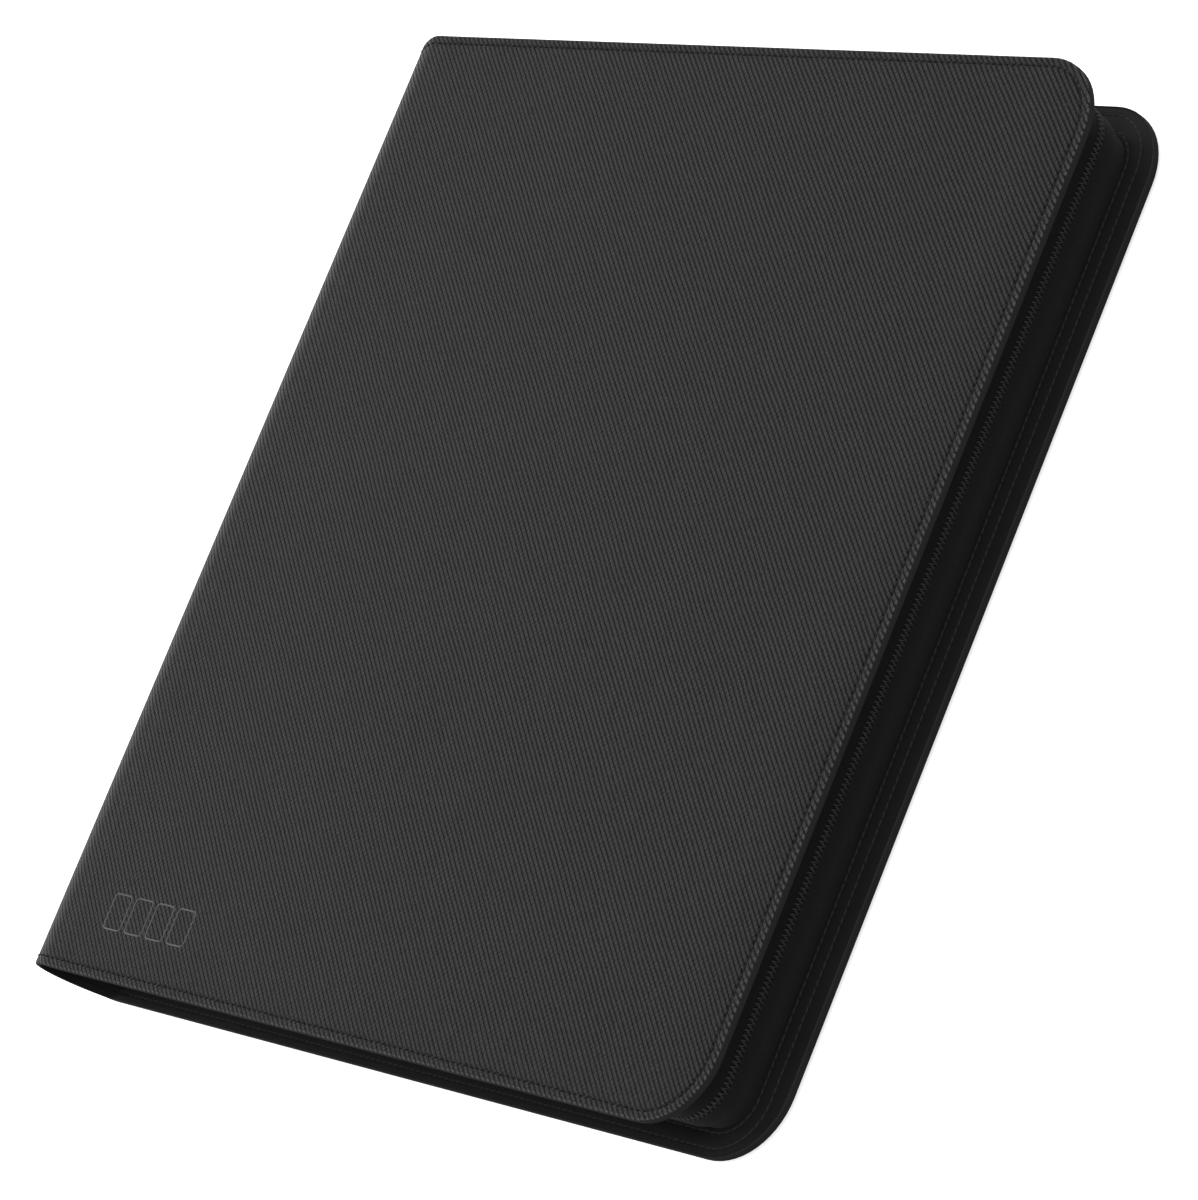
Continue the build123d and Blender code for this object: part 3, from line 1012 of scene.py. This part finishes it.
def pageFilm(index):
    # height of the film over the page: full in the middle of each pocket, falling as a steep power
    # towards its welds, and open in a low step along the loading side
    node = f"pocket_film_{index:02d}"
    low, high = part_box(node)
    x, pocketX = filmAxis(low.x / mm, high.x / mm, film["columns"])
    y, pocketY = filmAxis(low.y / mm, high.y / mm, film["rows"])
    edgeX = 1 - np.abs(pocketX) ** film["power"]
    edgeX = np.where((pocketX < -film["lipFrom"]) & (pocketX > -film["weldFrom"]), film["lip"], edgeX)
    edgeY = 1 - np.abs(pocketY) ** film["power"]
    rise = film["lift"] * edgeX[None, :] * edgeY[:, None] + film["gap"]
    midZ = (low.z + high.z) / 2 / mm
    coreHalf = (coreHigh.z - coreLow.z) / 2 / mm
    gridX, gridY = np.meshgrid(x, y)
    upperSheet = np.stack([gridX, gridY, midZ + coreHalf + rise], -1)
    lowerSheet = np.stack([gridX, gridY, midZ - coreHalf - rise], -1)
    rows, cols = gridX.shape
    faces = gridFaces(rows, cols)
    under = [quad[::-1] for quad in gridFaces(rows, cols, first=rows * cols)]
    points = np.concatenate([upperSheet.reshape(-1, 3), lowerSheet.reshape(-1, 3)])
    piece = makePiece(f"pageFilm_{index:02d}", points, faces + under, looks["film"], turnOut=False)
    welded = [np.abs(pocket) > film["weldFrom"] for pocket in (pocketX, pocketY)]
    weld = np.maximum(welded[0][None, :], welded[1][:, None])
    addAttribute(piece, "weld", np.tile(weld.ravel(), 2))
    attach(piece, f"page_{index:02d}")
    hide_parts(node)


for index in range(1, film["pages"] + 1):
    pageFilm(index)
print("pages made")


# a row of plain card outlines pressed into the front cover, painted paler as the highlight on their pressed
# edges
emblem = {
    "cards": 4, "step": 11.9, "x": -110.5, "y": -154.0,
    "cardWidth": 9.4, "cardHeight": 12.6, "corner": 1.6, "cornerSteps": 6,
    "line": 0.31, "lineSides": 6, "flatness": 0.4,
}


def emblemOutlines():
    # each outline is a closed rounded rectangle carried as a half-sunk flattened bead on the cover's face
    s = emblem
    quarter = np.linspace(0, np.pi / 2, s["cornerSteps"])
    turn = quarter + np.arange(4)[:, None] * np.pi / 2
    signs = np.array([[1, 1], [-1, 1], [-1, -1], [1, -1]])
    centres = signs * (np.array([s["cardWidth"], s["cardHeight"]]) / 2 - s["corner"])
    outline = (centres[:, None] + s["corner"] * np.stack([np.cos(turn), np.sin(turn)], -1)).reshape(-1, 2)
    ring = 2 * np.pi * np.arange(s["lineSides"]) / s["lineSides"]
    direction = unit(np.roll(outline, -1, 0) - np.roll(outline, 1, 0))
    normal = np.stack([direction[:, 1], -direction[:, 0]], -1)
    height = binder["topZ"] - skinShape["faceSink"] + s["flatness"] * s["line"] * np.sin(ring)
    points, faces = [], []
    for card in range(s["cards"]):
        plan = outline + [s["x"] + (card - (s["cards"] - 1) / 2) * s["step"], s["y"]]
        bead = plan[:, None] + normal[:, None] * (s["line"] * np.cos(ring))[:, None]
        z = np.broadcast_to(height, bead.shape[:2])
        first = card * len(outline) * len(ring)
        faces += gridFaces(len(outline), len(ring), closeRows=True, closeCols=True, first=first)
        points.append(np.concatenate([bead, z[..., None]], -1).reshape(-1, 3))
    piece = makePiece("coverEmblem", np.concatenate(points), faces, looks["emblem"])
    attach(piece, "front_cover")


emblemOutlines()


# CAD nodes that keep their own shape
carried = {"back_cover_board": "board", "front_cover_board": "board", "page_binding": "binding"}
carried["zipper_stops"] = "coil"
carried.update({f"page_core_{index:02d}": "page" for index in range(1, film["pages"] + 1)})
for node, look in carried.items():
    nodes[node].data.materials.clear()
    nodes[node].data.materials.append(looks[look])


floorSettings = {
    "half": 4000.0,
    "drop": 2.45,  # the opened spine's segments bow this far below the covers
    "lit": (0.32, 0.32, 0.32),  # what lights the binder from below
    "seen": (0.9, 0.9, 0.9),  # what the camera sees
    "glow": 0.75,
    "shader": {"Roughness": 0.9, "Specular IOR Level": 0.1, "Emission Color": (1, 1, 1, 1)},
}


def stageFloor():
    # a pale square that is brighter to the camera than to the binder
    s = floorSettings
    corners = np.array([[-1, -1], [1, -1], [1, 1], [-1, 1]]) * s["half"]
    points = np.column_stack([corners, np.full(4, -s["drop"])])
    material, tree, shader = newMaterial("paleFloor", s["shader"])
    seen = tree.nodes.new("ShaderNodeLightPath").outputs["Is Camera Ray"]
    tree.links.new(mixColour(tree, seen, s["lit"], s["seen"]), shader.inputs["Base Color"])
    tree.links.new(mathNode(tree, "MULTIPLY", seen, s["glow"]), shader.inputs["Emission Strength"])
    floor = makePiece("floor", points, [[0, 1, 2, 3]], material, turnOut=False)


stageFloor()

studioLights = {
    "softBoxAbove": {"place": (-0.8, 0.5, 1.7), "aim": (0.0, 0.0, 0.0), "size": (2.0, 2.0), "power": 19.5},
    "softBoxFore": {"place": (1.0, -0.1, 1.6), "aim": (0.1, 0.0, 0.02), "size": (1.2, 0.7), "power": 14},
    "softBoxSpine": {"place": (-1.7, 0.1, 0.8), "aim": (-0.1, 0.0, 0.02), "size": (1.6, 0.8), "power": 15},
}
skyStrength = 0.42


def areaLight(name, place, aim, size, power):
    # a rectangle at its place, turned to look at its aim
    data = bpy.data.lights.new(name, "AREA")
    data.shape = "RECTANGLE"
    data.size, data.size_y = size
    data.energy = power
    light = addObject(name, data)
    light.location = place
    light.rotation_mode = "QUATERNION"
    light.rotation_quaternion = (Vector(aim) - Vector(place)).to_track_quat("-Z", "Y")


for name, settings in studioLights.items():
    areaLight(name, **settings)
world = bpy.data.worlds.new("studio")
world.use_nodes = True
world.node_tree.nodes["Background"].inputs["Color"].default_value = (1, 1, 1, 1)
world.node_tree.nodes["Background"].inputs["Strength"].default_value = skyStrength
bpy.context.scene.world = world
bpy.context.scene.view_settings.view_transform = "Standard"
print("floor and lights made")

cameraSettings = {
    "target": (0.02207, -0.01371, 0.018),
    "distance": 1.75104,
    "azimuth": -14.7291,  # camera's side, from +X towards +Y
    "elevation": 38.8480,
    "roll": -58.473,
    "lens": 163.03,
    "sensor": 36.0,
    "clip": (0.05, 50),
}


def placeCamera():
    # stands back from the target along azimuth and elevation, then is rolled about its own axis
    c = cameraSettings
    azimuth, elevation, roll = (math.radians(c[key]) for key in ("azimuth", "elevation", "roll"))
    flat = math.cos(elevation)
    back = Vector((math.cos(azimuth) * flat, math.sin(azimuth) * flat, math.sin(elevation)))
    level = Vector((0, 0, 1)).cross(back).normalized()
    upright = back.cross(level)
    right = level * math.cos(roll) + upright * math.sin(roll)
    up = upright * math.cos(roll) - level * math.sin(roll)
    data = bpy.data.cameras.new("camera")
    data.lens, data.sensor_width = c["lens"], c["sensor"]
    data.clip_start, data.clip_end = c["clip"]
    camera = addObject("camera", data)
    turn = Matrix((right, up, back)).transposed()
    camera.matrix_world = Matrix.Translation(Vector(c["target"]) + back * c["distance"]) @ turn.to_4x4()
    bpy.context.scene.camera = camera


placeCamera()
